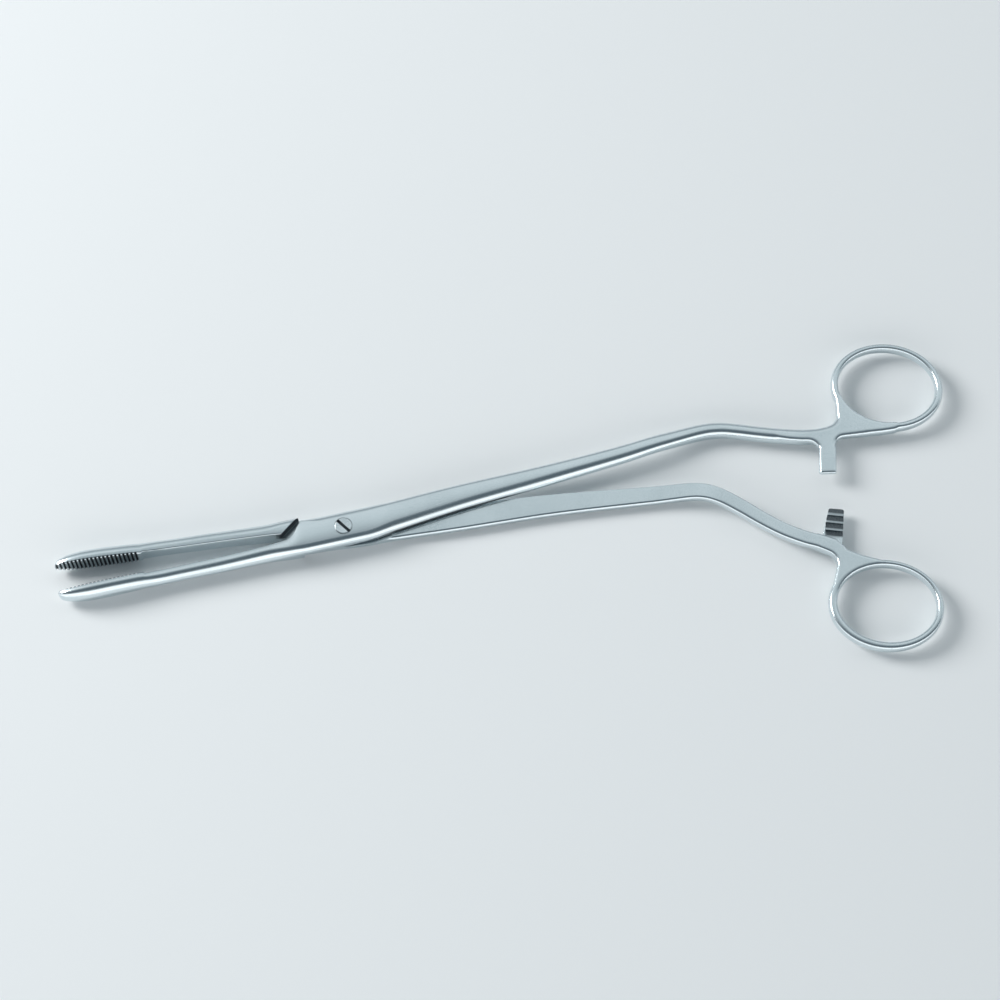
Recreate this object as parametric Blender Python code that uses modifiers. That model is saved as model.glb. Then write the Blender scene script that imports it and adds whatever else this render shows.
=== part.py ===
"""Sponge holding forceps with a screw joint, finger rings and a ratchet, lying flat and part open.

Each half is one forging: a serrated jaw, half of a lap joint, a half-round shank, a finger ring and
a ratchet arm. The front half lies over the rear one, and a slotted screw joins them.

Both halves are drawn by the same functions with the jaws shut. The drawing frame has its origin in
the pivot, midway through the joint, with X along the line where the jaws meet and the jaws at -X.
The rear half is then turned over about X, and each half is opened about the screw.
"""

from math import cos, pi, radians, sin, tan

import bmesh
import bpy
from mathutils import Matrix, Vector

MM = 0.001

# Joint
JOINT_WIDTH = 10.2 * MM
JOINT_THICKNESS = 7.0 * MM
LAP_CLEARANCE = 0.3 * MM
TONGUE_REACH = 14.7 * MM
SHOULDER_RUN = 2.1 * MM
SHOULDER_REACH = TONGUE_REACH + SHOULDER_RUN
SHOULDER_SLOPE = radians(42)
OPENING_AT_REST = radians(5.14)

# Jaws
JAW_LENGTH = 84.0 * MM
PAD_LENGTH = 25.0 * MM
PAD_WIDTH = 7.0 * MM
PAD_DEPTH = 4.1 * MM
WAIST_WIDTH = 4.9 * MM
WAIST_DEPTH = 3.7 * MM
JAW_RELIEF = 0.5 * MM
JAW_CLEARANCE = 0.3 * MM
TOOTH_PITCH = 1.15 * MM
TOOTH_DEPTH = 0.7 * MM

# Shanks
SHANK_START_WIDTH = 9.0 * MM
SHANK_END_WIDTH = 4.2 * MM
SHANK_TAPER_SHARE = 0.85
SHANK_TOP = 3.1 * MM
SHANK_RELIEF = 0.15 * MM
SHANK_INNER_ROUNDING = 0.48
SHANK_OUTER_ROUNDING = 0.9
JOINT_FADE = 30 * MM
LEVEL_START = 90 * MM
LEVEL_END = 110 * MM
HANDLE_THICKNESS = 3.5 * MM
EDGE_RADIUS = 0.7 * MM
FLAT_EDGE_RADIUS = 0.3 * MM
WEB_EDGE_RADIUS = 1.1 * MM
ARM_EDGE_RADIUS = 0.6 * MM
ARM_STEP = 0.03 * MM

# Finger rings
RING_BAR_HEIGHT = 3.2 * MM

# Ratchet
RATCHET_CUT_WIDTH = 5.8 * MM
RATCHET_PITCH = 2.4 * MM
RATCHET_DEPTH = 0.8 * MM
RATCHET_TEETH = 4

# Screw
SCREW_HEAD_RADIUS = 2.5 * MM
SCREW_HEAD_HEIGHT = 1.4 * MM
SCREW_SHANK_RADIUS = 1.6 * MM
SCREW_SLOT_WIDTH = 0.8 * MM
SCREW_SLOT_DEPTH = 0.6 * MM
SCREW_SLOT_TURN = radians(-54)
SCREW_TAIL_RADIUS = 2.2 * MM
SCREW_TAIL_HEIGHT = 0.8 * MM
SCREW_CLEARANCE = 0.3 * MM

# The two halves differ from the bend onwards: the front handle stays near the jaws' line, and the
# rear one leaves it. Points are in the drawing frame, in millimetres, on the half's own side, and a
# corner's third number is its radius. The shank's start is its distance from the jaws' line behind the
# joint. A ring's size is taken along the middle of its bar, and the bar's two numbers are its slimmest
# and its heaviest width.
FRONT = {
    "name": "front_half",
    "shank_start": 0.4,
    "shank": [(35, 1.9), (60, 2.9), (84, 4.3), (97, 5.7), (108, 6.7), (114.5, 6.2), (120, 4.5),
              (126, 2.2), (132, 0.1), (138, -1.7), (144, -2.6), (149, -1.9), (152.6, 1.4)],
    "shank_swell": 0,
    "ring_centre": (167.5, 8.0),
    "ring_size": (31.2, 26.6),
    "ring_bar": (2.15, 2.35),
    "ring_turn": radians(-18),
    "ring_heavy_side": radians(-60),
    "ratchet": [(144.9, -5.0), (142.15, -15.8)],
    "web": [(142, -1.1, 0), (149.4, -1.2, 3.2), (151.6, 8, 0), (152.4, 6, 0), (153.9, 2.6, 0),
            (156.6, -0.8, 0), (161.5, -3.6, 0), (161, -4.8, 0), (157.9, -4.3, 0), (152.4, -3.7, 0),
            (140, -3.2, 0)],
    "arm": [(137, -2.4, 0), (136.5, -3.2, 0), (142.6, -4.5, 3.3), (139.5, -15.3, 0.6),
            (144.5, -16.3, 0.6), (148.1, -3.9, 5), (157.5, -4, 0), (157, -2.4, 0)],
    "tooth_shift": 0,
}
REAR = {
    "name": "rear_half",
    "shank_start": 0,
    "shank": [(35, 0.3), (60, 0.3), (84, 1.2), (97, 1.9), (104.5, 2.9), (110, 5.4), (115.5, 9.7),
              (121, 14.6), (126.5, 18.9), (132, 22.2), (136.6, 24.4), (140.8, 27.4), (142.6, 33)],
    "shank_swell": 0.08,
    "ring_centre": (151.2, 46),
    "ring_size": (30.8, 25.8),
    "ring_bar": (1.95, 2.75),
    "ring_turn": radians(11.5),
    "ring_heavy_side": radians(130),
    "ratchet": [(141.0, 22.5), (143.35, 13.7)],
    "web": [(133.5, 21.2, 0), (136.2, 21.4, 0), (138.4, 22.5, 0), (141.2, 24, 0), (142.4, 26.9, 2.4),
            (147.5, 30, 0), (152.8, 32.2, 0), (151.8, 32.8, 0), (145.7, 33.4, 0), (141.4, 35.2, 0),
            (138.4, 39, 0), (136.7, 39, 0), (140.7, 29.5, 3.8), (132, 24, 0)],
    "arm": [(137.6, 24, 0), (137.4, 22, 0), (138.4, 19.6, 0), (141.2, 13.2, 0.6), (145.5, 14.2, 0.6),
            (143.7, 21.4, 0), (142.1, 27.4, 2.7), (146.5, 30.4, 0), (142, 29.5, 0)],
    "tooth_shift": 0.5,
}


def clear_scene():
    for obj in list(bpy.data.objects):
        bpy.data.objects.remove(obj, do_unlink=True)


def make_collection(name):
    collection = bpy.data.collections.new(name)
    bpy.context.scene.collection.children.link(collection)
    return collection


def make_material(name, colour, roughness):
    material = bpy.data.materials.new(name)
    material.use_nodes = True
    shader = material.node_tree.nodes["Principled BSDF"]
    shader.inputs["Base Color"].default_value = (*colour, 1)
    shader.inputs["Metallic"].default_value = 1
    shader.inputs["Roughness"].default_value = roughness
    return material


def add_object(name, mesh, collection):
    obj = bpy.data.objects.new(name, mesh)
    collection.objects.link(obj)
    return obj


def mesh_from(bm, name):
    bmesh.ops.recalc_face_normals(bm, faces=bm.faces)
    mesh = bpy.data.meshes.new(name)
    bm.to_mesh(mesh)
    bm.free()
    return mesh


def add_cutter(name, mesh, collection):
    cutter = add_object(name, mesh, collection)
    cutter.hide_render = True
    cutter.display_type = "WIRE"
    return cutter


def boolean(obj, operation, other):
    modifier = obj.modifiers.new(other.name, "BOOLEAN")
    modifier.operation = operation
    modifier.object = other


def smooth_path(points, steps):
    """Points of a Catmull-Rom curve through the given ones."""
    ends = [2 * points[0] - points[1], *points, 2 * points[-1] - points[-2]]
    path = []
    for before, start, end, after in zip(ends, ends[1:], ends[2:], ends[3:]):
        for step in range(steps):
            t = step / steps
            path.append(0.5 * (2 * start + (end - before) * t
                               + (2 * before - 5 * start + 4 * end - after) * t ** 2
                               + (3 * start - before - 3 * end + after) * t ** 3))
    return [*path, points[-1]]


def rounded_section(plus, minus, bottom, top, radii, steps=5):
    """(across, up) points of a box with round corners, whose radii start at the top on the plus side.

    Two radii that would overlap on a side share it in proportion.
    """
    points = []
    corners = [(plus, top, -1, -1), (-minus, top, 1, -1), (-minus, bottom, 1, 1), (plus, bottom, -1, 1)]
    sides = [plus + minus, top - bottom] * 2
    for index, (across, up, inward, downward) in enumerate(corners):
        before = radii[index] + radii[index - 1]
        after = radii[index] + radii[(index + 1) % 4]
        radius = radii[index] * min(1, 0.98 * sides[index - 1] / before, 0.98 * sides[index] / after)
        for step in range(steps):
            angle = (index + step / (steps - 1)) * pi / 2
            points.append((across + inward * radius + radius * cos(angle),
                           up + downward * radius + radius * sin(angle)))
    return points


def loft(sections, closed=False):
    """A bmesh through rings of points of the same count, capped at its ends unless it is closed."""
    bm = bmesh.new()
    rings = [[bm.verts.new(point) for point in section] for section in sections]
    pairs = list(zip(rings, rings[1:]))
    if closed:
        pairs.append((rings[-1], rings[0]))
    for ring, following in pairs:
        for index in range(len(ring)):
            after = (index + 1) % len(ring)
            bm.faces.new((ring[index], ring[after], following[after], following[index]))
    if not closed:
        bm.faces.new(rings[0])
        bm.faces.new(rings[-1])
    return bm


def jaw_stations():
    """Stations from tip to pivot: place, inner and outer edge, half height, inner and back radius."""
    face = -JAW_CLEARANCE / 2
    waist = face - JAW_RELIEF
    joint_half = JOINT_WIDTH / 2
    thick_half = JOINT_THICKNESS / 2
    pad_half = PAD_WIDTH / 2
    waist_half = WAIST_WIDTH / 2
    heel = PAD_LENGTH - JAW_LENGTH
    middle = (heel - TONGUE_REACH) / 2
    small = EDGE_RADIUS / 3
    back = 0.9 * PAD_DEPTH
    tip = []
    for along, size in ((0, 0.33), (0.04, 0.54), (0.11, 0.72), (0.22, 0.87), (0.36, 0.97), (0.52, 1)):
        place = along * PAD_LENGTH - JAW_LENGTH
        tip.append((place, face, face - size * PAD_DEPTH, size * pad_half, small, back))
    waist_outer = waist - WAIST_DEPTH
    shaft = [
        (heel - 0.1 * PAD_LENGTH, face, face - PAD_DEPTH, 0.9 * pad_half, small, back),
        (heel, face, face - 0.97 * PAD_DEPTH, 0.78 * pad_half, small, back),
        (heel + JAW_RELIEF, waist, waist_outer, waist_half, small, back),
        (middle - TONGUE_REACH, waist, waist_outer, waist_half, small, back),
        (middle, waist, waist - 1.06 * WAIST_DEPTH, 1.04 * waist_half, small, back),
        (-1.6 * TONGUE_REACH, 0.7 * waist, -0.92 * joint_half, 0.84 * thick_half, 2 * small, back),
        (-SHOULDER_REACH, 0, -0.97 * joint_half, 0.93 * thick_half, 3 * small, 0.8 * back),
        (-TONGUE_REACH, 0.24 * joint_half, -0.98 * joint_half, 0.97 * thick_half, 3 * small, 0.75 * back),
        (-0.78 * TONGUE_REACH, 0.9 * joint_half, -joint_half, thick_half, 3 * small, 0.75 * back),
        (-0.4 * TONGUE_REACH, joint_half, -joint_half, thick_half, 6 * small, 0.75 * back),
        (0.4 * TONGUE_REACH, joint_half, -joint_half, thick_half, 6 * small, 0.75 * back),
    ]
    return [*tip, *shaft]


def shank_sections(half):
    """Sections across the shank's curved middle line: half round, flat towards the other half."""
    points = [Vector((x * MM, y * MM, 0)) for x, y in half["shank"]]
    start = Vector((TONGUE_REACH, half["shank_start"] * MM, 0))
    path = smooth_path([start, *points], 3)
    ahead = [*path[1:], 2 * path[-1] - path[-2]]
    behind = [2 * path[0] - path[1], *path[:-1]]
    lengths = [0]
    for start, end in zip(path, path[1:]):
        lengths.append(lengths[-1] + (end - start).length)
    sections = []
    for point, after, before, length in zip(path, ahead, behind, lengths):
        along = (after - before).normalized()
        across = Vector((-along.y, along.x, 0))
        share = length / lengths[-1]
        width = shank_width(share) * (1 + half["shank_swell"] * sin(pi * share))
        low, high = shank_levels(point.x)
        widest = 0.42 * width
        inner = min(SHANK_INNER_ROUNDING * (high - low), widest)
        outer = min(SHANK_OUTER_ROUNDING * (high - low), widest)
        radii = (inner, outer, FLAT_EDGE_RADIUS, FLAT_EDGE_RADIUS)
        outline = rounded_section(width / 2, width / 2, low, high, radii)
        sections.append([point + across * side + Vector((0, 0, up)) for side, up in outline])
    return sections


def shank_width(share):
    """The shank narrows quickly behind the joint, then slowly to the ring."""
    ease = 1 - (1 - min(share / SHANK_TAPER_SHARE, 1)) ** 1.8
    return SHANK_START_WIDTH + (SHANK_END_WIDTH - SHANK_START_WIDTH) * ease


def shank_levels(place):
    """Bottom and top of the shank: clear of the other half where they cross, then level with the rings."""
    share = min(max((place - LEVEL_START) / (LEVEL_END - LEVEL_START), 0), 1)
    blend = share * share * (3 - 2 * share)
    low = LAP_CLEARANCE / 2 + SHANK_RELIEF
    high = SHANK_TOP + (JOINT_THICKNESS / 2 - SHANK_TOP) * max(0, 1 - place / JOINT_FADE)
    end = HANDLE_THICKNESS / 2
    return low + (-end - low) * blend, high + (end - high) * blend


def forging_mesh(half):
    sections = []
    for place, inner, outer, tall, front, back in jaw_stations():
        centre = (inner + outer) / 2
        reach = (inner - outer) / 2
        outline = rounded_section(reach, reach, -tall, tall, (front, back, back, front))
        sections.append([Vector((place, centre + side, up)) for side, up in outline])
    return mesh_from(loft([*sections, *shank_sections(half)]), half["name"])


def ring_mesh(half):
    """The ring's bar, an oval swept round an oval, and heavier on one side."""
    centre = Vector((half["ring_centre"][0] * MM, half["ring_centre"][1] * MM, 0))
    turn = Matrix.Rotation(half["ring_turn"], 3, "Z")
    length, breadth = [size * MM for size in half["ring_size"]]
    slim, heavy = [size * MM for size in half["ring_bar"]]
    steps, sides = 48, 12
    sections = []
    for step in range(steps):
        angle = 2 * pi * step / steps
        middle = Vector((length / 2 * cos(angle), breadth / 2 * sin(angle), 0))
        outward = Vector((cos(angle) / length, sin(angle) / breadth, 0)).normalized()
        width = slim + (heavy - slim) * (1 + cos(angle - half["ring_heavy_side"])) / 2
        section = []
        for side in range(sides):
            around = 2 * pi * side / sides
            offset = outward * width / 2 * cos(around)
            height = Vector((0, 0, RING_BAR_HEIGHT / 2 * sin(around)))
            section.append(centre + turn @ (middle + offset) + height)
        sections.append(section)
    return mesh_from(loft(sections, closed=True), half["name"] + "_ring")


def rounded_corners(corners, steps=6):
    """The corners, each with its own radius, as points of a closed outline with arcs."""
    outline = []
    count = len(corners)
    for index, (x, y, radius) in enumerate(corners):
        corner = Vector((x * MM, y * MM))
        if not radius:
            outline.append(corner)
            continue
        back = (Vector(corners[index - 1][:2]) * MM - corner).normalized()
        ahead = (Vector(corners[(index + 1) % count][:2]) * MM - corner).normalized()
        half_angle = back.angle(ahead) / 2
        middle = corner + (back + ahead).normalized() * radius * MM / sin(half_angle)
        start = corner + back * radius * MM / tan(half_angle) - middle
        end = corner + ahead * radius * MM / tan(half_angle) - middle
        turn = start.angle_signed(end)
        for step in range(steps + 1):
            outline.append(middle + Matrix.Rotation(-turn * step / steps, 2) @ start)
    return outline


def extrude(bm, outline, by):
    """A solid between the outline and its copy moved by the vector."""
    face = bm.faces.new([bm.verts.new(point) for point in outline])
    raised = bmesh.ops.extrude_face_region(bm, geom=[face])["geom"]
    moved = [item for item in raised if isinstance(item, bmesh.types.BMVert)]
    bmesh.ops.translate(bm, vec=by, verts=moved)


def plate_mesh(name, corners, low, high, edge, both_sides):
    """A flat plate with the given outline, rounded at its top rim or at both."""
    bm = bmesh.new()
    extrude(bm, [(x, y, low) for x, y in rounded_corners(corners)], (0, 0, high - low))
    lowest = low if both_sides else high
    rims = []
    for item in bm.edges:
        start, end = (vert.co.z for vert in item.verts)
        if abs(start - end) < 0.01 * MM and start > lowest - 0.01 * MM:
            rims.append(item)
    bmesh.ops.bevel(bm, geom=rims, offset=edge, offset_type="OFFSET", segments=3, profile=0.5,
                    affect="EDGES", material=-1, clamp_overlap=True)
    return mesh_from(bm, name)


def prisms_mesh(name, triangles, by):
    """One triangular prism for each triangle, along the vector."""
    bm = bmesh.new()
    for triangle in triangles:
        extrude(bm, triangle, by)
    return mesh_from(bm, name)


def jaw_teeth_mesh(half):
    """Notches across the pad, from the tip to the heel."""
    face = -JAW_CLEARANCE / 2
    spare = 0.1 * MM
    mouth = 0.46 * TOOTH_PITCH * (TOOTH_DEPTH + spare) / TOOTH_DEPTH
    triangles = []
    for tooth in range(int(PAD_LENGTH / TOOTH_PITCH)):
        place = (tooth + half["tooth_shift"]) * TOOTH_PITCH - JAW_LENGTH
        triangles.append([(place - mouth, face + spare, -PAD_WIDTH),
                          (place + mouth, face + spare, -PAD_WIDTH),
                          (place, face - TOOTH_DEPTH, -PAD_WIDTH)])
    return prisms_mesh(half["name"] + "_jaw_teeth", triangles, (0, 0, 2 * PAD_WIDTH))


def ratchet_teeth_mesh(half):
    """Saw teeth across the arm, each with its steep side towards the handle."""
    root, end = [Vector((x * MM, y * MM, 0)) for x, y in half["ratchet"]]
    along = (root - end).normalized()
    side = Vector((-along.y, along.x, 0)) * RATCHET_CUT_WIDTH / 2
    face = LAP_CLEARANCE / 2
    up = Vector((0, 0, RATCHET_DEPTH))
    triangles = []
    for tooth in range(RATCHET_TEETH):
        lead = 0.25 if tooth == 0 else 0
        near = end - side + along * RATCHET_PITCH * (tooth - lead) + Vector((0, 0, face))
        far = end - side + along * RATCHET_PITCH * (tooth + 0.9) + Vector((0, 0, face))
        triangles.append([near - up, near + up, far - 0.1 * up])
    return prisms_mesh(half["name"] + "_ratchet_teeth", triangles, 2 * side)


def lap_block_mesh(half):
    """What is cut away under the lap: everything below it, from the slanting shoulder to the shank."""
    slant = Vector((cos(SHOULDER_SLOPE), -sin(SHOULDER_SLOPE)))
    foot = Vector((-SHOULDER_REACH, -0.14 * JOINT_WIDTH))
    start = foot - slant * 2 * JOINT_WIDTH
    end = foot + slant * 2 * JOINT_WIDTH
    far = 2.2 * TONGUE_REACH
    outline = [(x, y, -JOINT_THICKNESS) for x, y in (start, end, (far, end.y), (far, start.y))]
    bm = bmesh.new()
    extrude(bm, outline, (0, 0, JOINT_THICKNESS + LAP_CLEARANCE / 2))
    return mesh_from(bm, half["name"] + "_lap_block")


def add_turned(name, profile, collection, steps=48):
    """An object turned about Z from (radius, height) points that run down its outer side."""
    mesh = bpy.data.meshes.new(name)
    edges = [(index, index + 1) for index in range(len(profile) - 1)]
    mesh.from_pydata([(radius, 0, height) for radius, height in profile], edges, [])
    obj = add_object(name, mesh, collection)
    screw = obj.modifiers.new("turn", "SCREW")
    screw.axis = "Z"
    screw.angle = 2 * pi
    screw.steps = steps
    screw.render_steps = steps
    screw.use_merge_vertices = True
    screw.merge_threshold = 0.00001
    screw.use_smooth_shade = False
    return obj


def screw_profile(clearance=0):
    """Outline of the screw, or of the bore that it passes through when a clearance is given."""
    spare = MM if clearance else 0
    top = JOINT_THICKNESS / 2 + spare
    bottom = -top
    seat = JOINT_THICKNESS / 2 - SCREW_HEAD_HEIGHT - clearance
    tail = -JOINT_THICKNESS / 2 + SCREW_TAIL_HEIGHT + clearance
    head = SCREW_HEAD_RADIUS + clearance
    shaft = SCREW_SHANK_RADIUS + clearance
    end = SCREW_TAIL_RADIUS + clearance
    return [(0, top), (head, top), (head, seat), (shaft, seat),
            (shaft, tail), (end, tail), (end, bottom), (0, bottom)]


def make_screw(parts, cutters, steel):
    screw = add_turned("pivot_screw", screw_profile(), parts)
    screw.data.materials.append(steel)
    bm = bmesh.new()
    bmesh.ops.create_cube(bm, size=1)
    size = (3 * SCREW_HEAD_RADIUS, SCREW_SLOT_WIDTH, 2 * SCREW_SLOT_DEPTH)
    bmesh.ops.scale(bm, vec=size, verts=bm.verts)
    bmesh.ops.rotate(bm, verts=bm.verts, cent=(0, 0, 0), matrix=Matrix.Rotation(SCREW_SLOT_TURN, 3, "Z"))
    bmesh.ops.translate(bm, vec=(0, 0, JOINT_THICKNESS / 2), verts=bm.verts)
    boolean(screw, "DIFFERENCE", add_cutter("screw_slot", mesh_from(bm, "screw_slot"), cutters))
    return screw


def make_half(half, parts, cutters, steel):
    """One forging in the drawing frame, with its joint, bore and teeth cut."""
    name = half["name"]
    low, high = -HANDLE_THICKNESS / 2, HANDLE_THICKNESS / 2
    obj = add_object(name, forging_mesh(half), parts)
    obj.data.materials.append(steel)
    web = plate_mesh(name + "_web", half["web"], low, high, WEB_EDGE_RADIUS, True)
    arm_top = high - ARM_STEP
    arm = plate_mesh(name + "_arm", half["arm"], LAP_CLEARANCE / 2, arm_top, ARM_EDGE_RADIUS, False)
    helpers = [
        ("UNION", add_cutter(name + "_ring", ring_mesh(half), cutters)),
        ("UNION", add_cutter(name + "_web", web, cutters)),
        ("UNION", add_cutter(name + "_arm", arm, cutters)),
        ("DIFFERENCE", add_cutter(name + "_lap_block", lap_block_mesh(half), cutters)),
        ("DIFFERENCE", add_cutter(name + "_jaw_teeth", jaw_teeth_mesh(half), cutters)),
        ("DIFFERENCE", add_cutter(name + "_ratchet_teeth", ratchet_teeth_mesh(half), cutters)),
    ]
    for operation, helper in helpers:
        boolean(obj, operation, helper)
    return obj, [helper for _, helper in helpers]


def place(objects, pivot):
    for obj in objects:
        obj.parent = pivot


def main():
    clear_scene()
    parts = make_collection("sponge_holding_forceps")
    cutters = make_collection("cutters")
    steel = make_material("forged_steel", (0.56, 0.62, 0.64), 0.28)
    screw_steel = make_material("screw_steel", (0.6, 0.66, 0.68), 0.22)
    bore = add_turned("screw_bore", screw_profile(SCREW_CLEARANCE), cutters)
    bore.hide_render = True
    bore.display_type = "WIRE"
    middle = Matrix.Translation((0, 0, JOINT_THICKNESS / 2))
    turned_over = Matrix.Rotation(pi, 4, "X")
    opened = OPENING_AT_REST / 2
    for half, turn in ((FRONT, Matrix.Rotation(opened, 4, "Z")),
                       (REAR, Matrix.Rotation(-opened, 4, "Z") @ turned_over)):
        pivot = bpy.data.objects.new(half["name"] + "_pivot", None)
        parts.objects.link(pivot)
        pivot.matrix_world = middle @ turn
        obj, helpers = make_half(half, parts, cutters, steel)
        place([obj, *helpers], pivot)
        boolean(obj, "DIFFERENCE", bore)
        obj.data.set_sharp_from_angle(angle=radians(40))
    screw = make_screw(parts, cutters, screw_steel)
    for obj in (screw, bpy.data.objects["screw_slot"], bore):
        obj.location.z = JOINT_THICKNESS / 2


main()
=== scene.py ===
from math import atan2, cos, hypot, pi, radians, sin, tan

import bmesh
import bpy
import numpy as np
from mathutils import Matrix, Vector


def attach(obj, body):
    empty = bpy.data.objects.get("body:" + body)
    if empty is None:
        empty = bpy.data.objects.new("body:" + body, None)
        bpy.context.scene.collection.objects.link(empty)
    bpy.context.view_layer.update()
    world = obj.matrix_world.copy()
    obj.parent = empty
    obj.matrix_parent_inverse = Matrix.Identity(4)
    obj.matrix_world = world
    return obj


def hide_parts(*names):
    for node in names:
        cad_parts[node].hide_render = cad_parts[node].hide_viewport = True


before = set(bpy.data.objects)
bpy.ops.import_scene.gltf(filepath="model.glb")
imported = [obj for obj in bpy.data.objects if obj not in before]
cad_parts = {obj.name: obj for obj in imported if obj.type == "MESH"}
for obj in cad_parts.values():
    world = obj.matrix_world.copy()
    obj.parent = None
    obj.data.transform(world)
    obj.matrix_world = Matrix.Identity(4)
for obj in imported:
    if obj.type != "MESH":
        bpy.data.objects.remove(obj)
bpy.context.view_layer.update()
scene = bpy.context.scene
mm = 0.001
print("frame loaded")

viewSettings = {
    "photoTurn": radians(-10.93),  # the photo's own turn of the forceps on the table
    "elevation": radians(65),
    "centre": (45.38, 9.82, 3.5),  # along and across the photo, and up, in mm
    "distance": 700.0,
    "frameWidth": 292.8,
    "sensorWidth": 36,
    "nearest": 0.01,  # clipping in metres
}
turnToWorld = Matrix.Rotation(viewSettings["photoTurn"], 4, "Z")


def addCamera(s):
    camera = bpy.data.objects.new("photoCamera", bpy.data.cameras.new("photoCamera"))
    scene.collection.objects.link(camera)
    away = Vector((0, -cos(s["elevation"]), sin(s["elevation"])))
    place = Vector(s["centre"]) + away * s["distance"]
    moved = turnToWorld @ Matrix.Translation(place * mm)
    camera.matrix_world = moved @ Matrix.Rotation(pi / 2 - s["elevation"], 4, "X")
    camera.data.sensor_width = s["sensorWidth"]
    camera.data.lens = s["sensorWidth"] * s["distance"] / s["frameWidth"]
    camera.data.clip_start = s["nearest"]
    scene.camera = camera


addCamera(viewSettings)
scene.view_settings.view_transform = "Standard"
print("camera placed")


# shader maths as Python expressions
class Sock:
    def __init__(self, tree, socket):
        self.tree, self.socket = tree, socket

    def math(self, operation, other=None, swap=False):
        values = [self, other] if other is not None else [self]
        if swap:
            values.reverse()
        return self.tree.node("ShaderNodeMath", {"operation": operation}, values)

    def __add__(self, other): return self.math("ADD", other)
    def __radd__(self, other): return self.math("ADD", other)
    def __sub__(self, other): return self.math("SUBTRACT", other)
    def __rsub__(self, other): return self.math("SUBTRACT", other, True)
    def __mul__(self, other): return self.math("MULTIPLY", other)
    def __rmul__(self, other): return self.math("MULTIPLY", other)
    def __truediv__(self, other): return self.math("DIVIDE", other)
    def __rtruediv__(self, other): return self.math("DIVIDE", other, True)
    def most(self, other): return self.math("MAXIMUM", other)
    def unsigned(self): return self.math("ABSOLUTE")


class Tree:
    def __init__(self, owner):
        owner.use_nodes = True
        self.nodes, self.links = owner.node_tree.nodes, owner.node_tree.links

    def feed(self, socket, value):
        if isinstance(value, Sock):
            self.links.new(value.socket, socket)
        elif isinstance(value, (tuple, list)) and len(value) == 3 and socket.type == "RGBA":
            socket.default_value = (*value, 1)
        else:
            socket.default_value = value

    def node(self, kind, settings, values, output=0):
        made = self.nodes.new(kind)
        for key, value in settings.items():
            if key == "stops":
                ramp = made.color_ramp.elements
                while len(ramp) < len(value):
                    ramp.new(0.5)
                for stop, (place, colour) in zip(ramp, value):
                    stop.position, stop.color = place, (*colour, 1)
            else:
                setattr(made, key, value)
        pairs = values.items() if isinstance(values, dict) else enumerate(values)
        for key, value in pairs:
            self.feed(made.inputs[key], value)
        return Sock(self, made.outputs[output])

    def mixColour(self, factor, first, second):  # sockets 6, 7 and output 2 are the Mix node's colours
        return self.node("ShaderNodeMix", {"data_type": "RGBA"}, {0: factor, 6: first, 7: second}, output=2)

    def noise(self, place, scale, detail, roughness):
        values = {"Vector": place, "Scale": scale, "Detail": detail, "Roughness": roughness}
        return self.node("ShaderNodeTexNoise", {}, values)

    def stretched(self, place, scale):
        return self.node("ShaderNodeMapping", {}, {"Vector": place, "Scale": scale})

    def dot(self, vector, direction):
        settings = {"operation": "DOT_PRODUCT"}
        return self.node("ShaderNodeVectorMath", settings, [vector, direction], output=1)

    # 0 at the first value and 1 at the second, either way round
    def fade(self, value, clear, full):
        return self.node("ShaderNodeMapRange", {}, {"Value": value, "From Min": clear, "From Max": full})

    # fades in from the first edge to the second, and out from the third to the fourth
    def between(self, value, edges):
        return self.fade(value, edges[0], edges[1]) * self.fade(value, edges[3], edges[2])

    def objectPlace(self):
        return self.node("ShaderNodeTexCoord", {}, {}, output=3)

    def upward(self):  # the upward part of the surface's normal
        normal = self.node("ShaderNodeTexCoord", {}, {}, output=1)
        return self.node("ShaderNodeSeparateXYZ", {}, [normal], output=2)


# a soft sky that is pale to the north, dark above the camera and bright low in the south,
# and a lamp far to the west; the stops run from north, through straight up at 0.5, to south
lightSettings = {
    "skyStrength": 4.0,
    "skyStops": [
        (0.00, (0.34, 0.345, 0.35)),
        (0.18, (0.36, 0.365, 0.37)),
        (0.215, (0.22, 0.23, 0.235)),
        (0.245, (0.065, 0.073, 0.078)),
        (0.285, (0.024, 0.031, 0.036)),
        (0.50, (0.028, 0.036, 0.042)),
        (0.57, (0.085, 0.096, 0.102)),
        (0.625, (0.156, 0.173, 0.18)),
        (0.71, (0.19, 0.205, 0.212)),
        (0.79, (0.115, 0.127, 0.134)),
        (1.00, (0.08, 0.09, 0.096)),
    ],
    "keyPlace": (-1300, 520, 850),  # in mm, turned with the photo
    "keySize": 0.80,
    "keyPower": 23.0,
}


def addLight(s):
    world = bpy.data.worlds.new("studioSky")
    scene.world = world
    tree = Tree(world)
    north = turnToWorld.to_3x3() @ Vector((0, 1, 0))
    way = tree.node("ShaderNodeTexCoord", {}, {})
    lean = tree.dot(way, north).math("ARCTAN2", tree.dot(way, Vector((0, 0, 1))))
    sky = tree.node("ShaderNodeValToRGB", {"stops": s["skyStops"]}, [lean / pi + 0.5])
    background = tree.nodes["Background"]
    tree.feed(background.inputs["Color"], sky)
    background.inputs["Strength"].default_value = s["skyStrength"]
    lamp = bpy.data.lights.new("keyLamp", "AREA")
    lamp.shape, lamp.size, lamp.energy = "DISK", s["keySize"], s["keyPower"]
    key = bpy.data.objects.new("keyLamp", lamp)
    scene.collection.objects.link(key)
    place = turnToWorld @ (Vector(s["keyPlace"]) * mm)
    target = turnToWorld @ (Vector(viewSettings["centre"]) * mm)
    aim = (target - place).to_track_quat("-Z", "Y").to_matrix().to_4x4()
    key.matrix_world = Matrix.Translation(place) @ aim


addLight(lightSettings)
print("light set")


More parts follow.
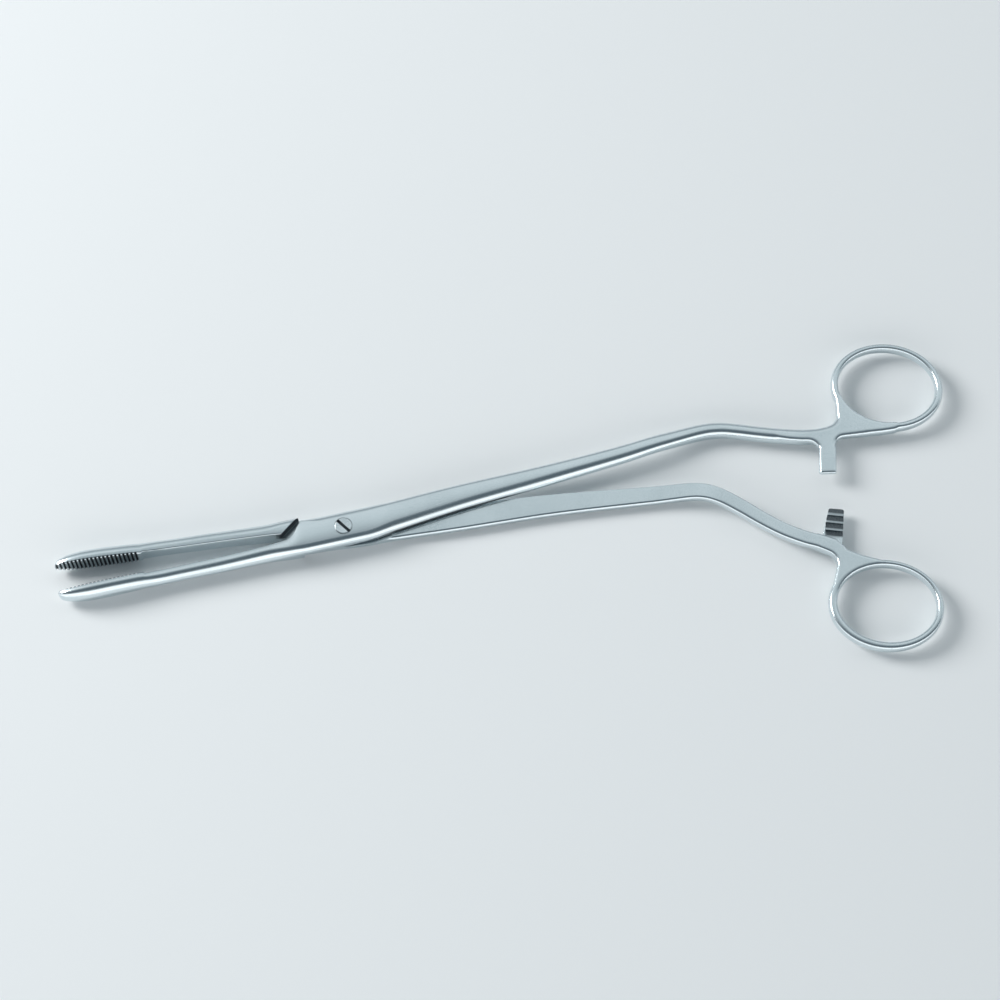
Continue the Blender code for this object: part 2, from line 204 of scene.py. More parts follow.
def meshObject(name, bm):
    bmesh.ops.recalc_face_normals(bm, faces=bm.faces)
    mesh = bpy.data.meshes.new(name)
    bm.to_mesh(mesh)
    bm.free()
    made = bpy.data.objects.new(name, mesh)
    scene.collection.objects.link(made)
    return made


floorSettings = {
    "reach": 3.0,
    "colour": (0.86, 0.88, 0.885),
    "roughness": 0.85,
}


def addFloor(s):
    bm = bmesh.new()
    bmesh.ops.create_grid(bm, x_segments=1, y_segments=1, size=s["reach"])
    floor = meshObject("floor", bm)
    material = bpy.data.materials.new("paleTable")
    shader = Tree(material).nodes["Principled BSDF"]
    shader.inputs["Base Color"].default_value = (*s["colour"], 1)
    shader.inputs["Roughness"].default_value = s["roughness"]
    floor.data.materials.append(material)


addFloor(floorSettings)
print("floor laid")

# each noise is its scale, detail and roughness, and each share says how much a pattern changes
steelSettings = {
    "colour": (0.74, 0.81, 0.835),
    "dullColour": (0.65, 0.725, 0.755),
    # the colour of the shade painted into the notches, gaps, walls and the screw's slot
    "paintedShadeColour": (0.035, 0.045, 0.055),
    "clouds": (60, 4, 0.55), "cloudEdges": (0.42, 0.7), "cloudDullness": 0.45, "cloudRoughness": 0.06,
    "grain": (900, 3, 0.6), "grainStretch": (1, 14, 14), "grainRoughness": 0.07,
    "specks": (2600, 2, 0.5), "speckEdges": (0.45, 0.75), "speckDullness": 0.5, "speckHeight": 0.5,
    # how strongly the shade is painted, how specks vary it, and how much rougher the steel is where it is
    # painted
    "paintedShadeTint": 0.8, "paintedShadeSpecks": 0.35, "paintedShadeRoughness": 0.35,
    "roughness": 0.17, "bumpStrength": 0.10, "bumpDistance": 0.00005,
}
screwSteelSettings = {**steelSettings, "roughness": 0.22}

# where shade is painted on the steel, in mm along and across the drawing and above the table
paintedShadeSettings = {
    "wallLean": (0.75, 0.35),  # faces that stand up
    "notchAcross": (-0.1, 0.05, -0.45, -0.12),  # two from the notch's root and two from the jaw's face
    "notchEnd": (0.1, -0.3),  # from the end of the serrations
    # painted shade on the front half's lap wall, standing for the shadow in the gap beside the shank
    "lapLength": (8, 14, 48, 58), "lapHeight": (5.2, 4.6), "lapShadeTint": 0.95,
    "shoulderLength": (-20, -18.5, -9.5, -8), "shoulderHeight": (3.2, 3.5, 6.3, 6.7),
    # painted shade between the rear ratchet's teeth
    "teethLength": (138, 139, 147, 148), "teethAcross": (12, 12.6, 22.6, 23.4),
    "teethHeight": (2.2, 2.4, 3.37, 3.42), "teethShadeTint": 0.85,
    # the ratchet's crests get less painted shade, which paints them as highlights against the grooves
    "crestHeight": (3.2, 3.32), "crestShadeLift": 0.55,
    "slotSide": 0.04, "slotDepth": (0.06, 0.12),
}


# brushed steel, with shade painted into its recesses and gaps
def makeSteel(name, s, half=None):
    material = bpy.data.materials.new(name)
    tree = Tree(material)
    shader = tree.nodes["Principled BSDF"]
    place = tree.objectPlace()
    grain = tree.noise(tree.stretched(place, s["grainStretch"]), *s["grain"])
    specks = tree.noise(place, *s["specks"])
    clouds = tree.fade(tree.noise(place, *s["clouds"]), *s["cloudEdges"])
    dull = clouds * s["cloudDullness"] + tree.fade(specks, *s["speckEdges"]) * s["speckDullness"]
    # the mask of painted shade, and how far it darkens the steel's colour
    shadeMask = halfRecess(tree, place, half, paintedShadeSettings) if half else slotRecess(tree, place, paintedShadeSettings)
    shadeAmount = shadeMask * (s["paintedShadeTint"] + specks * s["paintedShadeSpecks"])
    colour = tree.mixColour(shadeAmount, tree.mixColour(dull, s["colour"], s["dullColour"]), s["paintedShadeColour"])
    roughness = s["roughness"] + clouds * s["cloudRoughness"] + grain * s["grainRoughness"]
    height = grain + specks * s["speckHeight"]
    bump = {"Strength": s["bumpStrength"], "Distance": s["bumpDistance"], "Height": height}
    tree.feed(shader.inputs["Base Color"], colour)
    tree.feed(shader.inputs["Roughness"], roughness + shadeMask * s["paintedShadeRoughness"])
    tree.feed(shader.inputs["Normal"], tree.node("ShaderNodeBump", {}, bump))
    shader.inputs["Metallic"].default_value = 1
    return material


# painted shade in the notches, and on the lap's wall on the front half or on the shoulder's wall and the
# ratchet's teeth on the rear one
def halfRecess(tree, place, half, s):
    side = -1 if half["turnedOver"] else 1
    turn = side * forging["opening"] / 2
    length = tree.dot(place, Vector((cos(turn), sin(turn), 0)) / mm)
    across = tree.dot(place, Vector((-sin(turn), cos(turn), 0)) * side / mm)
    height = tree.dot(place, Vector((0, 0, 1)) / mm)
    wall = tree.fade(tree.upward().unsigned(), *s["wallLean"])
    face = -forging["jawGap"] / 2
    root = face - forging["toothDepth"]
    heel = forging["padLength"] - forging["jawLength"]
    edges = [start + by for start, by in zip((root, root, face, face), s["notchAcross"])]
    notches = tree.between(across, edges) * tree.fade(length, *(heel + by for by in s["notchEnd"])) * wall
    if not half["turnedOver"]:
        lap = tree.between(length, s["lapLength"]) * tree.fade(height, *s["lapHeight"]) * wall
        return notches.most(lap * s["lapShadeTint"])
    shoulder = tree.between(length, s["shoulderLength"]) * tree.between(height, s["shoulderHeight"]) * wall
    teeth = (tree.between(length, s["teethLength"]) * tree.between(across, s["teethAcross"])
             * tree.between(height, s["teethHeight"]) * (1 - wall))
    # less painted shade on the tooth crests, as a painted highlight
    crests = tree.fade(height, *s["crestHeight"])
    return notches.most(shoulder).most(teeth * (s["teethShadeTint"] - crests * s["crestShadeLift"]))


# painted shade in the screw's slot, on its walls and floor below the head's top
def slotRecess(tree, place, s):
    turn, edge, top = screw["slotTurn"], screw["slotWidth"] / 2, forging["thickness"]
    offCentre = tree.dot(place, Vector((-sin(turn), cos(turn), 0)) / mm).unsigned()
    height = tree.dot(place, Vector((0, 0, 1)) / mm)
    deep = tree.fade(height, *(top - by for by in s["slotDepth"]))
    return tree.fade(offCentre, edge + s["slotSide"], edge) * deep


# shared sizes of the two forgings in mm, drawn with the jaws shut: the origin is in the pivot,
# X runs along the line where the jaws meet, and the jaws are at -X
forging = {
    "opening": radians(5.14),
    # the jaw
    "jawLength": 84.0, "padLength": 25.0, "padWidth": 7.0, "padDepth": 4.1, "padEdge": 0.6, "jawGap": 0.3,
    "tipSizes": ((0, 0.14), (0.003, 0.24), (0.012, 0.37), (0.04, 0.55), (0.11, 0.72), (0.22, 0.87),
                 (0.36, 0.97), (0.52, 1)),  # share of the pad's length, share of its full section
    "waistWidth": 4.9, "waistDepth": 3.7, "relief": 0.5, "edge": 0.7, "backRounding": 0.68,
    "toothPitch": 1.15, "toothDepth": 0.7, "toothMouth": 0.46, "toothSpare": 0.05,
    # the joint
    "jointWidth": 10.2, "thickness": 7.0, "lapGap": 0.3, "tongueReach": 14.7, "lapReach": 2.2,
    "shoulderReach": 16.8, "shoulderSlope": radians(42), "shoulderFoot": 0.14,
    # the shank
    "shankStartWidth": 9.0, "shankEndWidth": 4.2, "shankTaper": 0.85, "taperPower": 1.8,
    "shankTop": 3.1, "shankRelief": 0.15, "jointFade": 30.0, "levelStart": 90.0, "levelEnd": 110.0,
    "innerRounding": 0.48, "outerRounding": 0.9, "roundingLimit": 0.42, "flatEdge": 0.3, "innerFlatEdge": 0.9,
    "crownFade": 65.0, "crownLoss": 0.8,
    # the handle
    "handleThickness": 3.5, "handleStart": 6, "tuckedIn": (0.95, 0.998), "handleGrain": 0.2, "handleSmooth": 6,
    "ringBarHeight": 3.45, "ringBoxiness": 0.75, "webReach": 0.75, "armEdge": 0.7,
    "ratchetCutWidth": 5.8, "ratchetPitch": 2.4, "ratchetDepth": 0.8, "ratchetTeeth": 4,
    "ratchetLead": 0.25, "ratchetRun": 0.9, "ratchetHeel": 0.1,
    # how finely it is all drawn
    "cornerSteps": 10, "cornerRoom": 0.98, "flatSteps": (8, 3, 5, 3), "pathSteps": 9, "stationSpacing": 0.9,
    "ringSteps": 120, "ringSides": 24, "bevelSteps": 4, "arcSteps": 10, "webSteps": 24,
    "smoothAngle": radians(34), "handleAngle": radians(50),
}
# a shank is a list of (x, y), a ratchet runs from its root to its end, and the plates of the handle
# are outlines of (x, y, corner radius)
frontHalf = {
    "name": "frontHalf", "node": "front_half", "body": "front", "turnedOver": False,
    "shankStart": 0.4,
    "shank": [(35, 1.9), (60, 2.9), (84, 4.3), (97, 5.7), (108, 6.7), (114.5, 6.2), (120, 4.5),
              (126, 2.2), (132, 0.1), (138, -1.7), (144, -2.6), (149, -1.9), (152.6, 1.4)],
    "swell": 0,
    "crown": 0.12,
    "ringCentre": (167.5, 8.0), "ringSize": (31.2, 26.6), "ringBar": (2.15, 2.35),
    "ringTurn": radians(-18), "heavySide": radians(-60),
    "webEdge": 1.1,
    "web": [(142, -1.1, 0), (149.4, -1.2, 3.2), (151.8, 10, 0)],
    "webArc": (radians(192), radians(290)),
    "webBack": [(168.8, -6.2, 0), (165.3, -6.8, 0), (161.7, -6.55, 0), (157.9, -6.1, 0), (152.4, -5.3, 0),
                (145, -4.6, 0), (140, -3.2, 0)],
    "root": [(133, 0.4, 0), (124.8, 4.2, 0), (123.8, 2.2, 0), (127.8, 0.35, 0), (131, -1.45, 0),
             (134, -2.68, 0), (137.5, -3.8, 0), (142.55, -4.95, 3.3), (141, -10.3, 0),
             (146.1, -11, 0), (147.75, -5.1, 2.4), (157.5, -6.1, 0), (157, -3, 0)],
    "arm": [(143, -5.5, 0), (142.2, -6.3, 0), (141.3, -9, 0), (139.5, -15.3, 0.6), (144.5, -16.3, 0.6),
            (146.9, -8, 0), (146.5, -6.2, 0), (145, -5, 0)],
    "ratchet": [(144.9, -5.0), (142.15, -15.8)],
    "toothShift": 0,
}
rearHalf = {
    "name": "rearHalf", "node": "rear_half", "body": "rear", "turnedOver": True,
    "shankStart": 0,
    "shank": [(35, 0.3), (60, 0.3), (84, 1.2), (97, 1.9), (104.5, 2.9), (110, 5.4), (115.5, 9.7),
              (121, 14.6), (126.5, 18.9), (132, 22.2), (136.6, 24.4), (140.8, 27.4), (142.6, 33)],
    "swell": 0.08,
    "crown": 0.04,
    "ringCentre": (151.2, 46), "ringSize": (30.8, 25.8), "ringBar": (1.95, 2.75),
    "ringTurn": radians(11.5), "heavySide": radians(130),
    "webEdge": 0.75,
    "web": [(133.5, 21.2, 0), (136.2, 21.4, 0), (138.4, 22.5, 0), (141.2, 24, 0), (142.4, 26.9, 2.4),
            (147.5, 30, 0), (152.8, 32.3, 0), (154.6, 32.65, 0)],
    "webArc": (radians(272), radians(195)),
    "webBack": [(136.5, 40.3, 0), (137, 38.4, 0), (140.7, 29.5, 3.8), (132, 24, 0)],
    "root": [],
    "arm": [(137.6, 24, 0), (137.4, 22, 0), (138.4, 19.6, 0), (141.2, 13.2, 0.6), (145.5, 14.2, 0.6),
            (143.7, 21.4, 0), (142.1, 27.4, 2.7), (146.5, 30.4, 0), (142, 29.5, 0)],
    "ratchet": [(141.0, 22.5), (143.35, 13.7)],
    "toothShift": 0.5,
}
screw = {
    "headRadius": 2.5, "headHeight": 1.4, "shaftRadius": 1.6, "tailRadius": 2.2, "tailHeight": 0.8,
    "slotWidth": 0.9, "slotDepth": 0.6, "slotTurn": radians(-54), "gap": 0.12,
    "rim": 0.12, "dish": 0.05, "dishSteps": 8, "steps": 96,
}


# a Catmull-Rom curve through the points
def curveThrough(points, steps):
    ends = [2 * points[0] - points[1], *points, 2 * points[-1] - points[-2]]
    path = []
    for before, start, end, after in zip(ends, ends[1:], ends[2:], ends[3:]):
        for step in range(steps):
            t = step / steps
            path.append(0.5 * (2 * start + (end - before) * t
                               + (2 * before - 5 * start + 4 * end - after) * t ** 2
                               + (3 * start - before - 3 * end + after) * t ** 3))
    return [*path, points[-1]]


# (side, up) points of a box with four round corners and a slight crown
def roundedSection(plus, minus, low, high, radii, crown, base):
    corners = [(plus, high, -1, -1), (-minus, high, 1, -1), (-minus, low, 1, 1), (plus, low, -1, 1)]
    spans = [plus + minus, high - low] * 2
    steps, room = forging["cornerSteps"], forging["cornerRoom"]
    arcs = []
    for index, (side, up, inward, downward) in enumerate(corners):
        before = radii[index] + radii[index - 1]
        after = radii[index] + radii[(index + 1) % 4]
        radius = radii[index] * min(1, room * spans[index - 1] / before, room * spans[index] / after)
        turns = [(index + step / steps) * pi / 2 for step in range(steps + 1)]
        arcs.append([(side + inward * radius + radius * cos(turn), up + downward * radius + radius * sin(turn))
                     for turn in turns])
    points = []
    for index, arc in enumerate(arcs):
        points += arc
        start, end, count = arc[-1], arcs[(index + 1) % 4][0], forging["flatSteps"][index]
        for step in range(1, count):
            t = step / count
            points.append((start[0] + (end[0] - start[0]) * t, start[1] + (end[1] - start[1]) * t))
    middle, half = (plus - minus) / 2, (plus + minus) / 2
    return [(side, base + (up - base) * (1 - crown * ((side - middle) / half) ** 2)) for side, up in points]


# place, inner and outer edge, half height, inner and back radius, from the tip to the pivot; the shares
# of the named sizes let the forging flow from one to the next
def jawStations(f):
    face = -f["jawGap"] / 2
    waist = face - f["relief"]
    jointHalf, thickHalf = f["jointWidth"] / 2, f["thickness"] / 2
    padHalf, waistHalf = f["padWidth"] / 2, f["waistWidth"] / 2
    heel = f["padLength"] - f["jawLength"]
    reach = f["tongueReach"]
    middle = (heel - reach) / 2
    small, back, edge = f["edge"] / 2, f["backRounding"] * f["padDepth"], f["padEdge"]
    outer = waist - f["waistDepth"]
    tip = [(along * f["padLength"] - f["jawLength"], face - 0.02 * (size < 0.3), face - size * f["padDepth"],
            size * padHalf, edge * size, back * size) for along, size in f["tipSizes"]]
    return tip + [
        (heel - 0.1 * f["padLength"], face, face - f["padDepth"], 0.9 * padHalf, edge, back),
        (heel, face, face - 0.99 * f["padDepth"], 0.8 * padHalf, edge, back),
        (heel + f["relief"], waist, face - f["padDepth"], 0.78 * padHalf, small, back),
        (heel + 7, waist, outer, waistHalf, small, back),
        (middle - reach, waist, outer, waistHalf, small, back),
        (middle, waist, waist - 1.06 * f["waistDepth"], 1.04 * waistHalf, small, back),
        (-1.6 * reach, 0.7 * waist, -0.92 * jointHalf, 0.84 * thickHalf, small, back),
        (-f["shoulderReach"], 0, -0.97 * jointHalf, 0.93 * thickHalf, small, 0.8 * back),
        (-reach, 0.24 * jointHalf, -0.98 * jointHalf, 0.97 * thickHalf, small, 0.75 * back),
        (-0.78 * reach, 0.9 * jointHalf, -jointHalf, thickHalf, small, 0.75 * back),
        (-0.4 * reach, jointHalf, -jointHalf, thickHalf, 6 * small, 0.75 * back),
        (0.4 * reach, jointHalf, -jointHalf, thickHalf, 6 * small, 0.75 * back),
    ]


# the shank's lower and upper side: above the lap at first, then level with the middle at the handle
def shankLevels(f, place):
    share = min(max((place - f["levelStart"]) / (f["levelEnd"] - f["levelStart"]), 0), 1)
    blend = share * share * (3 - 2 * share)
    low = f["lapGap"] / 2 + f["shankRelief"]
    high = f["shankTop"] + (f["thickness"] / 2 - f["shankTop"]) * max(0, 1 - place / f["jointFade"])
    end = f["handleThickness"] / 2
    return low + (-end - low) * blend, high + (end - high) * blend


# the shank's sections square to its curved path, from the joint to the ring
def shankSections(f, half):
    points = [Vector((f["tongueReach"], half["shankStart"], 0)), *(Vector((x, y, 0)) for x, y in half["shank"])]
    path = curveThrough(points, f["pathSteps"])
    ahead, behind = [*path[1:], 2 * path[-1] - path[-2]], [2 * path[0] - path[1], *path[:-1]]
    lengths = [0]
    for start, end in zip(path, path[1:]):
        lengths.append(lengths[-1] + (end - start).length)
    sections = []
    for point, after, before, length in zip(path, ahead, behind, lengths):
        along = (after - before).normalized()
        across = Vector((-along.y, along.x, 0))
        share = length / lengths[-1]
        ease = 1 - (1 - min(share / f["shankTaper"], 1)) ** f["taperPower"]
        width = f["shankStartWidth"] + (f["shankEndWidth"] - f["shankStartWidth"]) * ease
        width *= 1 + half["swell"] * sin(pi * share)
        low, high = shankLevels(f, point.x)
        limit = f["roundingLimit"] * width
        inner, outer = (min(f[key] * (high - low), limit) for key in ("innerRounding", "outerRounding"))
        flattened = min(max((point.x - f["crownFade"]) / f["crownFade"], 0), 1)
        crown = half["crown"] * (1 - f["crownLoss"] * flattened)
        radii = (inner, outer, f["flatEdge"], f["innerFlatEdge"])
        outline = roundedSection(width / 2, width / 2, low, high, radii, crown, low)
        sections.append([point + across * side + Vector((0, 0, up)) for side, up in outline])
    return sections


# sections between the given ones, on curves that never overshoot them
def filledIn(sections, spacing):
    rows = np.array(sections)
    gaps = np.linalg.norm(np.diff(rows.mean(axis=1), axis=0), axis=1)
    steep = np.diff(rows, axis=0) / gaps[:, None, None]
    slopes = np.concatenate([steep[:1], steep])
    together = steep[:-1] * steep[1:]
    total = steep[:-1] + steep[1:]
    slopes[1:-1] = np.where(together > 0, 2 * together / np.where(total == 0, 1, total), 0)
    filled = []
    for index in range(len(rows) - 2):
        gap = gaps[index]
        count = max(2, round(gap / spacing))
        for step in range(count):
            t = step / count
            places = (2 * t ** 3 - 3 * t ** 2 + 1) * rows[index] + (3 * t ** 2 - 2 * t ** 3) * rows[index + 1]
            leans = (t ** 3 - 2 * t ** 2 + t) * slopes[index] + (t ** 3 - t ** 2) * slopes[index + 1]
            filled.append(places + leans * gap)
    return [*filled, rows[-2]]


# one capped skin drawn out section by section
def drawOut(sections):
    bm = bmesh.new()
    ring = list(bmesh.ops.create_circle(bm, cap_ends=True, segments=len(sections[0]), radius=1)["verts"])
    rim = bm.edges[:]
    for number, section in enumerate(sections):
        if number:
            grown = bmesh.ops.extrude_edge_only(bm, edges=rim)["geom"]
            fresh = [item for item in grown if isinstance(item, bmesh.types.BMVert)]
            rim = [item for item in grown if isinstance(item, bmesh.types.BMEdge)]
            order = {vert.co.copy().freeze(): index for index, vert in enumerate(ring)}
            ring = sorted(fresh, key=lambda vert: order[vert.co.copy().freeze()])
        for vert, point in zip(ring, section):
            vert.co = point
    bm.faces.new(ring)
    return bm


def shrunk(section, size):
    middle = sum(section, Vector((0, 0, 0))) / len(section)
    return [middle + (point - middle) * size for point in section]


# the number of the shank's section where the handle takes over
def handleSection(f):
    return f["handleStart"] * f["pathSteps"]


# the jaw, the joint and the shank, which ends inside the handle
def forgedBody(f, half):
    sections = []
    for place, inner, outer, tall, front, back in jawStations(f):
        centre, reach = (inner + outer) / 2, (inner - outer) / 2
        outline = roundedSection(reach, reach, -tall, tall, (front, back, back, front), half["crown"], 0)
        sections.append([(place, centre + side, up) for side, up in outline])
    shank = shankSections(f, half)
    first = handleSection(f)
    sizes = (1, *reversed(f["tuckedIn"]))
    ending = [shrunk(section, size) for section, size in zip(shank[first:], sizes)]
    return drawOut([*filledIn([*sections, *shank[:2]], f["stationSpacing"]), *shank[1:first], *ending])


# the ring, the web, the arm and the shank's end, run together and slightly softened
def handleShell(f, half):
    low, high = -f["handleThickness"] / 2, f["handleThickness"] / 2
    tail = shankSections(f, half)[handleSection(f):]
    tail[:2] = [shrunk(section, size) for section, size in zip(tail, f["tuckedIn"])]
    bm = drawOut(tail)
    bmesh.ops.recalc_face_normals(bm, faces=bm.faces)
    first, last = half["webArc"]
    angles = [first + (last - first) * step / f["webSteps"] for step in range(f["webSteps"] + 1)]
    web = [*half["web"], *((*ringPlace(half, angle, -f["webReach"]), 0) for angle in angles), *half["webBack"]]
    parts = [fingerRing(f, half), plate(f, web, low, high, half["webEdge"], True),
             plate(f, half["arm"], f["lapGap"] / 2, high, f["armEdge"], False)]
    if half["root"]:
        parts.append(plate(f, half["root"], f["lapGap"] / 2, high, half["webEdge"], False))
    for part in parts:
        bmesh.ops.recalc_face_normals(part, faces=part.faces)
        mesh = bpy.data.meshes.new("part")
        part.to_mesh(mesh)
        part.free()
        bm.from_mesh(mesh)
        bpy.data.meshes.remove(mesh)
    return bm


# turns a round section squarer, for values from -1 to 1
def boxier(value, power):
    return abs(value) ** power * (1 if value > 0 else -1)


def spinRound(bm, steps):
    bmesh.ops.spin(bm, geom=[*bm.verts, *bm.edges], cent=(0, 0, 0), axis=(0, 0, 1),
                   angle=2 * pi, steps=steps, use_merge=True)


# a spun hoop, then pulled to the oval with its uneven bar
def fingerRing(f, half):
    hoop, upright = 10, Matrix.Rotation(pi / 2, 4, "X")
    bm = bmesh.new()
    profile = bmesh.ops.create_circle(bm, segments=f["ringSides"], radius=1, matrix=upright)["verts"]
    bmesh.ops.translate(bm, vec=(hoop, 0, 0), verts=profile)
    spinRound(bm, f["ringSteps"])
    slim, heavy = half["ringBar"]
    for vert in bm.verts:
        angle = atan2(vert.co.y, vert.co.x)
        out = boxier(hypot(vert.co.x, vert.co.y) - hoop, f["ringBoxiness"])
        width = slim + (heavy - slim) * (1 + cos(angle - half["heavySide"])) / 2
        up = boxier(vert.co.z, f["ringBoxiness"])
        vert.co = (*ringPlace(half, angle, width / 2 * out), f["ringBarHeight"] / 2 * up)
    return bm


# a point beside the ring's oval middle line
def ringPlace(half, angle, outward):
    length, breadth = half["ringSize"]
    middle = Vector((length / 2 * cos(angle), breadth / 2 * sin(angle)))
    place = middle + Vector((cos(angle) / length, sin(angle) / breadth)).normalized() * outward
    return Vector(half["ringCentre"]) + Matrix.Rotation(half["ringTurn"], 2) @ place


# the outline of (x, y, radius) corners
def roundedCorners(corners, steps):
    outline = []
    for index, (x, y, radius) in enumerate(corners):
        corner = Vector((x, y))
        if not radius:
            outline.append(corner)
            continue
        back = (Vector(corners[index - 1][:2]) - corner).normalized()
        ahead = (Vector(corners[(index + 1) % len(corners)][:2]) - corner).normalized()
        half = back.angle(ahead) / 2
        middle = corner + (back + ahead).normalized() * radius / sin(half)
        start = corner + back * radius / tan(half) - middle
        turn = start.angle_signed(corner + ahead * radius / tan(half) - middle)
        for step in range(steps + 1):
            outline.append(middle + Matrix.Rotation(-turn * step / steps, 2) @ start)
    return outline


# a prism on the outline
def pushOut(bm, outline, by):
    face = bm.faces.new([bm.verts.new(point) for point in outline])
    raised = bmesh.ops.extrude_face_region(bm, geom=[face])["geom"]
    bmesh.ops.translate(bm, vec=by, verts=[item for item in raised if isinstance(item, bmesh.types.BMVert)])


# a flat plate with rounded rims, on the upper side or on both
def plate(f, corners, low, high, edge, bothSides):
    bm = bmesh.new()
    pushOut(bm, [(x, y, low) for x, y in roundedCorners(corners, f["arcSteps"])], (0, 0, high - low))
    lowest, slack = low if bothSides else high, 0.01
    rims = [item for item in bm.edges
            if abs(item.verts[0].co.z - item.verts[1].co.z) < slack and item.verts[0].co.z > lowest - slack]
    bmesh.ops.bevel(bm, geom=rims, offset=edge, offset_type="OFFSET", segments=f["bevelSteps"], profile=0.5,
                    affect="EDGES", material=-1, clamp_overlap=False)
    return bm


# the notches between the jaw's teeth, drawn a little past its face
def jawTeeth(f, half):
    face, spare = -f["jawGap"] / 2, f["toothSpare"]
    mouth = f["toothMouth"] * f["toothPitch"] * (f["toothDepth"] + spare) / f["toothDepth"]
    bm = bmesh.new()
    for tooth in range(int(f["padLength"] / f["toothPitch"])):
        place = (tooth + half["toothShift"]) * f["toothPitch"] - f["jawLength"]
        notch = [(place - mouth, face + spare), (place + mouth, face + spare), (place, face - f["toothDepth"])]
        pushOut(bm, [(x, y, -f["padWidth"]) for x, y in notch], (0, 0, 2 * f["padWidth"]))
    return bm


# the saw notches of the ratchet, cut up from the lap's side of the arm
def ratchetTeeth(f, half):
    root, end = [Vector((x, y, 0)) for x, y in half["ratchet"]]
    along = (root - end).normalized()
    side = Vector((-along.y, along.x, 0)) * f["ratchetCutWidth"] / 2
    up, lap = Vector((0, 0, f["ratchetDepth"])), Vector((0, 0, f["lapGap"] / 2))
    bm = bmesh.new()
    for tooth in range(f["ratchetTeeth"]):
        lead = 0 if tooth else f["ratchetLead"]
        near = end - side + along * f["ratchetPitch"] * (tooth - lead) + lap
        far = end - side + along * f["ratchetPitch"] * (tooth + f["ratchetRun"]) + lap
        pushOut(bm, [near - up, near + up, far - f["ratchetHeel"] * up], 2 * side)
    return bm


# what the lap takes away: all below its face, from the slanting shoulder to past the joint
def lapBlock(f):
    slant = Vector((cos(f["shoulderSlope"]), -sin(f["shoulderSlope"])))
    foot = Vector((-f["shoulderReach"], -f["shoulderFoot"] * f["jointWidth"]))
    start, end = foot - slant * 2 * f["jointWidth"], foot + slant * 2 * f["jointWidth"]
    far = f["lapReach"] * f["tongueReach"]
    bm = bmesh.new()
    outline = [(x, y, -f["thickness"]) for x, y in (start, end, (far, end.y), (far, start.y))]
    pushOut(bm, outline, (0, 0, f["thickness"] + f["lapGap"] / 2))
    return bm


# the profile runs down the outer side from the axis, and is spun about it
def spun(profile, steps):
    bm = bmesh.new()
    line = [bm.verts.new((radius, 0, up)) for radius, up in profile]
    for start, end in zip(line, line[1:]):
        bm.edges.new((start, end))
    spinRound(bm, steps)
    bmesh.ops.remove_doubles(bm, verts=bm.verts, dist=0.0001)
    return bm


# the screw's shape with its gap all round, running out through both sides
def boreShape(f, s):
    top = f["thickness"] / 2 + 1
    seat = f["thickness"] / 2 - s["headHeight"] - s["gap"]
    tail = s["tailHeight"] + s["gap"] - f["thickness"] / 2
    head, shaft, end = (s[key] + s["gap"] for key in ("headRadius", "shaftRadius", "tailRadius"))
    profile = [(0, top), (head, top), (head, seat), (shaft, seat),
               (shaft, tail), (end, tail), (end, -top), (0, -top)]
    return spun(profile, s["steps"])


# one solid less its cutters, with smooth faces between its sharp edges
def cutOut(name, bm, cutters, smoothAngle, grain=0, softness=0):
    obj = meshObject(name, bm)
    if grain:
        fused = obj.modifiers.new("fused", "REMESH")
        fused.mode, fused.voxel_size, fused.adaptivity = "VOXEL", grain, 0
        softened = obj.modifiers.new("softened", "SMOOTH")
        softened.factor, softened.iterations = 0.5, softness
    helpers = [meshObject(name + "Cutter" + str(number), cutter) for number, cutter in enumerate(cutters)]
    for helper in helpers:
        modifier = obj.modifiers.new(helper.name, "BOOLEAN")
        modifier.operation, modifier.object, modifier.solver = "DIFFERENCE", helper, "EXACT"
    bpy.context.view_layer.update()
    mesh = bpy.data.meshes.new_from_object(obj.evaluated_get(bpy.context.evaluated_depsgraph_get()))
    for item in (obj, *helpers):
        bpy.data.objects.remove(item)
    mesh.shade_smooth()
    mesh.set_sharp_from_angle(angle=smoothAngle)
    return mesh


# the meshes as one object at its place at rest
def joined(name, meshes, place):
    bm = bmesh.new()
    for mesh in meshes:
        bm.from_mesh(mesh)
    whole = bpy.data.meshes.new(name)
    bm.to_mesh(whole)
    bm.free()
    whole.transform(place @ Matrix.Scale(mm, 4))
    made = bpy.data.objects.new(name, whole)
    scene.collection.objects.link(made)
    weighted = made.modifiers.new("evenNormals", "WEIGHTED_NORMAL")
    weighted.keep_sharp = True
    return made


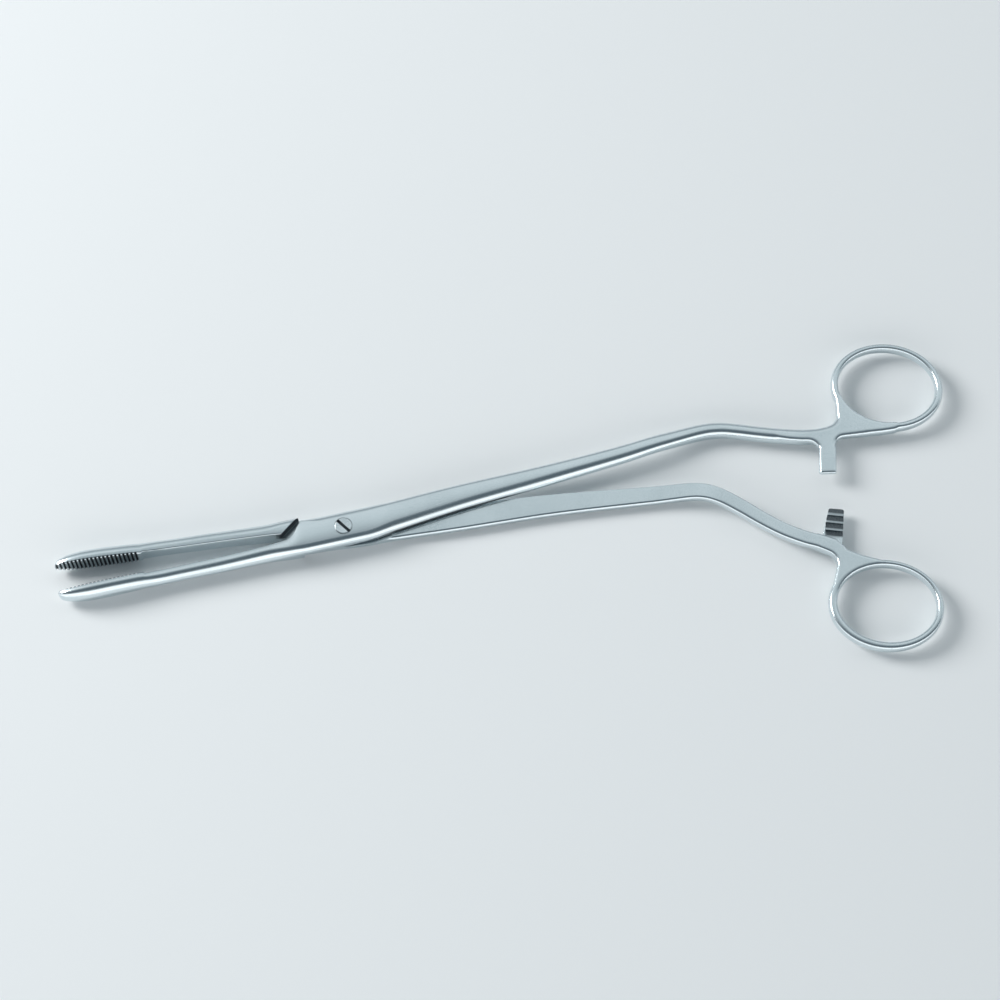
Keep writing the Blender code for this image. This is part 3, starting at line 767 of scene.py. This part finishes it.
def makeHalf(f, half, material):
    opened = Matrix.Rotation(f["opening"] / 2, 4, "Z")
    if half["turnedOver"]:
        opened = opened.inverted() @ Matrix.Rotation(pi, 4, "X")
    place = Matrix.Translation((0, 0, f["thickness"] / 2 * mm)) @ opened
    cutters = [lapBlock(f), jawTeeth(f, half), boreShape(f, screw)]
    body = cutOut("body", forgedBody(f, half), cutters, f["smoothAngle"])
    handle = cutOut("handle", handleShell(f, half), [ratchetTeeth(f, half)], f["handleAngle"],
                    f["handleGrain"], f["handleSmooth"])
    made = joined(half["name"], [body, handle], place)
    made.data.materials.append(material)
    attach(made, half["body"])
    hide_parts(half["node"])
    print(half["name"], len(made.data.polygons), "faces")


def makeScrew(f, s, material):
    head, shaft, end = s["headRadius"], s["shaftRadius"], s["tailRadius"]
    top = f["thickness"] / 2
    seat, tail = top - s["headHeight"], s["tailHeight"] - top
    profile = [(0, top - s["dish"])]
    for step in range(1, s["dishSteps"] + 1):
        share = step / s["dishSteps"]
        profile.append((share * (head - s["rim"]), top - s["dish"] * (1 - share ** 2)))
    profile += [(head - s["rim"] / 3, top - s["rim"] / 3), (head, top - s["rim"]), (head, seat),
                (shaft, seat), (shaft, tail), (end, tail), (end, -top), (0, -top)]
    slot = bmesh.new()
    bmesh.ops.create_cube(slot, size=1)
    bmesh.ops.scale(slot, vec=(3 * head, s["slotWidth"], 2 * s["slotDepth"]), verts=slot.verts)
    bmesh.ops.rotate(slot, verts=slot.verts, cent=(0, 0, 0), matrix=Matrix.Rotation(s["slotTurn"], 3, "Z"))
    bmesh.ops.translate(slot, vec=(0, 0, top), verts=slot.verts)
    mesh = cutOut("head", spun(profile, s["steps"]), [slot], f["smoothAngle"])
    made = joined("pivotScrew", [mesh], Matrix.Translation((0, 0, top * mm)))
    made.data.materials.append(material)
    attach(made, "rear")
    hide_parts("pivot_screw")
    print("pivotScrew", len(made.data.polygons), "faces")


makeHalf(forging, frontHalf, makeSteel("forgedSteelFront", steelSettings, frontHalf))
makeHalf(forging, rearHalf, makeSteel("forgedSteelRear", steelSettings, rearHalf))
makeScrew(forging, screw, makeSteel("screwSteel", screwSteelSettings))
print("halves and screw made")
